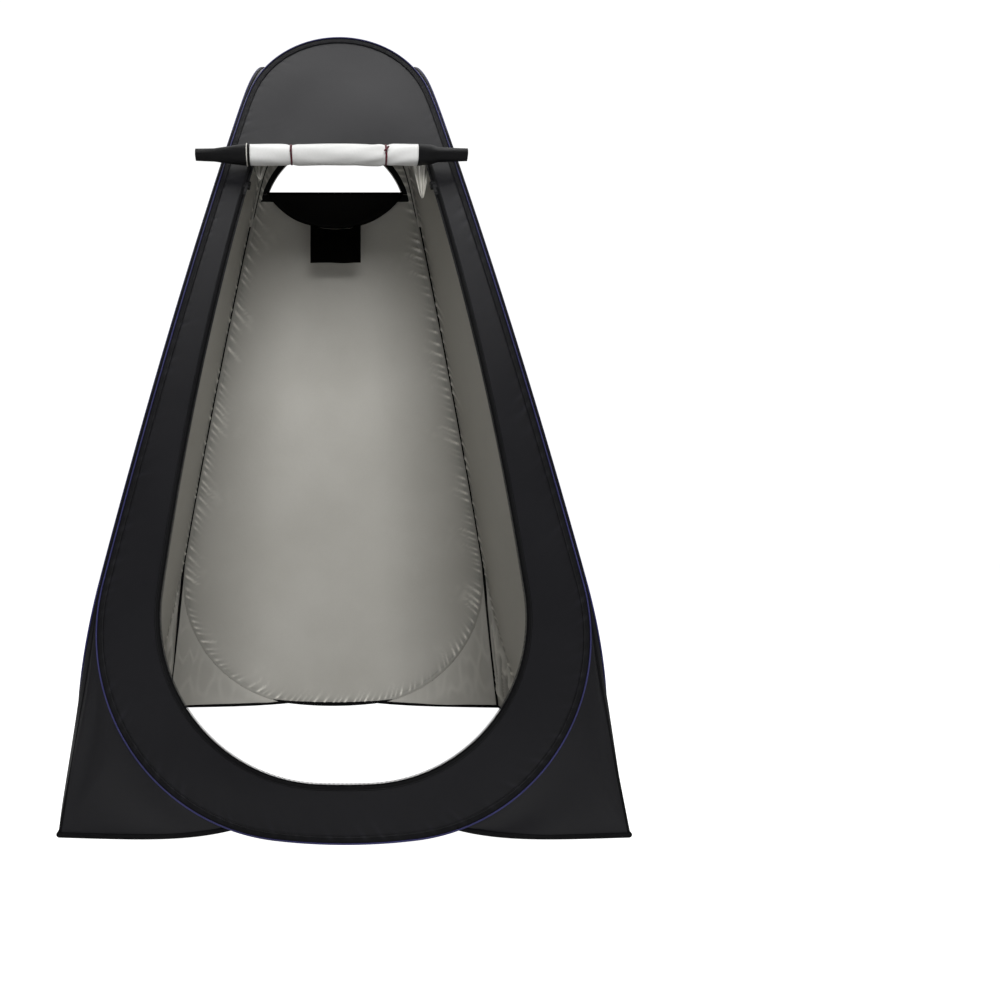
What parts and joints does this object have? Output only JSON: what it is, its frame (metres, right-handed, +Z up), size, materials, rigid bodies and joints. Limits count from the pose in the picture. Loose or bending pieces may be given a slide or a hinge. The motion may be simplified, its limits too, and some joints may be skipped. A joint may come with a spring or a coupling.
{
  "type": "privacy shower tent",
  "caption": "Tall square pop-up privacy tent with sprung hoop sides, an open floor, an arched rear window with a fabric cover, and a zipped door rolled up over its oval opening.",
  "frame": {"origin": "on the ground at the middle of the square base", "axes": "+Z up, the door faces -Y, the window is at +Y"},
  "size_m": [1.2786, 1.2786, 1.9299],
  "materials": {
    "canopy_cloth": "coated woven polyester, black outside, silver coated inside, soft sheen",
    "silver_lining": "silver coated polyester, softly metallic, creased",
    "edge_sleeve_cloth": "folded black polyester tape, matt",
    "piping_cord": "dark blue-black bound cord",
    "spring_steel": "tempered flat spring wire",
    "black_tape": "black woven tape",
    "zip_plastic": "moulded black nylon",
    "zip_metal": "black enamelled zinc",
    "tie_tape": "narrow dark red woven tape",
    "cover_cloth": "dense matt black cloth"
  },
  "bodies": {
    "front_side": {"front_panel": "canopy_cloth", "front_sleeve": "edge_sleeve_cloth", "front_hoop": "spring_steel", "front_hoop_ferrule": "spring_steel", "front_piping": "piping_cord", "front_roof": "canopy_cloth", "door_zip_tape": "black_tape", "door_zip_chain": "zip_plastic", "door_header_tape": "black_tape", "corner_seam_front_left": "edge_sleeve_cloth", "corner_seam_front_right": "edge_sleeve_cloth", "corner_gusset_front_left": "canopy_cloth", "corner_gusset_front_right": "canopy_cloth"},
    "left_side": {"left_panel": "canopy_cloth", "left_sleeve": "edge_sleeve_cloth", "left_hoop": "spring_steel", "left_hoop_ferrule": "spring_steel", "left_piping": "piping_cord", "left_roof": "canopy_cloth", "corner_seam_back_left": "edge_sleeve_cloth", "corner_gusset_back_left_side": "canopy_cloth"},
    "right_side": {"right_panel": "canopy_cloth", "right_sleeve": "edge_sleeve_cloth", "right_hoop": "spring_steel", "right_hoop_ferrule": "spring_steel", "right_piping": "piping_cord", "right_roof": "canopy_cloth", "corner_seam_back_right": "edge_sleeve_cloth", "corner_gusset_back_right": "canopy_cloth"},
    "back_side": {"back_panel": "canopy_cloth", "back_sleeve": "edge_sleeve_cloth", "back_hoop": "spring_steel", "back_hoop_ferrule": "spring_steel", "back_piping": "piping_cord", "back_roof": "canopy_cloth", "corner_gusset_back_left_rear": "canopy_cloth", "window_loop_tape": "black_tape", "window_sill_tape": "black_tape"},
    "rolled_door": {"door_roll": "silver_lining", "door_roll_end_left": "canopy_cloth", "door_roll_end_right": "canopy_cloth", "door_hanging_strip": "silver_lining", "door_tie_left": "tie_tape", "door_tie_right": "tie_tape", "tie_toggle_left": "zip_plastic", "tie_toggle_right": "zip_plastic"},
    "window_cover": {"window_flap": "cover_cloth", "window_hook_tape": "black_tape"},
    "cover_tongue": {"window_tongue": "cover_cloth"},
    "slider_left": {"zip_slider_left": "zip_metal"},
    "pull_left": {"zip_pull_left": "zip_metal"},
    "slider_right": {"zip_slider_right": "zip_metal"},
    "pull_right": {"zip_pull_right": "zip_metal"}
  },
  "joints": [
    {"name": "fold_front_left", "type": "hinge", "parent": "front_side", "child": "left_side", "pos_m": [-0.53264, -0.53264, 0.47], "axis": [-0.2201, -0.2201, -0.9503], "range_deg": [0, 83], "stiffness_Nm_per_rad": 1.5, "deforming": ["corner_seam_front_left", "corner_gusset_front_left", "front_roof", "left_roof", "corner_seam_back_left", "corner_gusset_back_left_side"]},
    {"name": "fold_front_right", "type": "hinge", "parent": "front_side", "child": "right_side", "pos_m": [0.54864, -0.54864, 0.47], "axis": [0.2201, -0.2201, -0.9503], "range_deg": [0, 83], "deforming": ["corner_seam_front_right", "corner_gusset_front_right", "right_roof"]},
    {"name": "fold_back_right", "type": "hinge", "parent": "right_side", "child": "back_side", "pos_m": [0.53264, 0.53264, 0.47], "axis": [-0.2201, -0.2201, 0.9503], "range_deg": [0, 83], "deforming": ["corner_seam_back_right", "corner_gusset_back_right", "back_roof", "corner_gusset_back_left_rear", "window_flap", "window_hook_tape", "window_tongue"]},
    {"name": "door_roll_lift", "type": "hinge", "parent": "front_side", "child": "rolled_door", "pos_m": [0, -0.28654, 1.598], "axis": [-1, 0, 0], "range_deg": [0, 40]},
    {"name": "window_cover_lift", "type": "hinge", "parent": "back_side", "child": "window_cover", "pos_m": [0, 0.24289, 1.712], "axis": [-1, 0, 0], "range_deg": [-30, 141]},
    {"name": "cover_tongue_fold", "type": "hinge", "parent": "window_cover", "child": "cover_tongue", "pos_m": [0, 0.1908, 1.57774], "axis": [-1, 0, 0], "range_deg": [-141, 30]},
    {"name": "zip_slide_left", "type": "slide", "parent": "front_side", "child": "slider_left", "axis": [-0.2078, -0.2353, -0.9494], "range_m": [0, 0.2]},
    {"name": "pull_swing_left", "type": "hinge", "parent": "slider_left", "child": "pull_left", "pos_m": [-0.22872, -0.31439, 1.49668], "axis": [-0.9782, 0.05, 0.2017], "range_deg": [0, 170]},
    {"name": "zip_slide_right", "type": "slide", "parent": "front_side", "child": "slider_right", "axis": [0.2078, -0.2353, -0.9494], "range_m": [0, 0.2]},
    {"name": "pull_swing_right", "type": "hinge", "parent": "slider_right", "child": "pull_right", "pos_m": [0.22872, -0.31439, 1.49668], "axis": [-0.9782, -0.05, -0.2017], "range_deg": [0, 170]}
  ],
  "couplings": [
    {"joint": "fold_front_right", "follows": "fold_front_left", "ratio": 0.99},
    {"joint": "fold_back_right", "follows": "fold_front_left", "ratio": 1},
    {"joint": "cover_tongue_fold", "follows": "window_cover_lift", "ratio": -1}
  ]
}
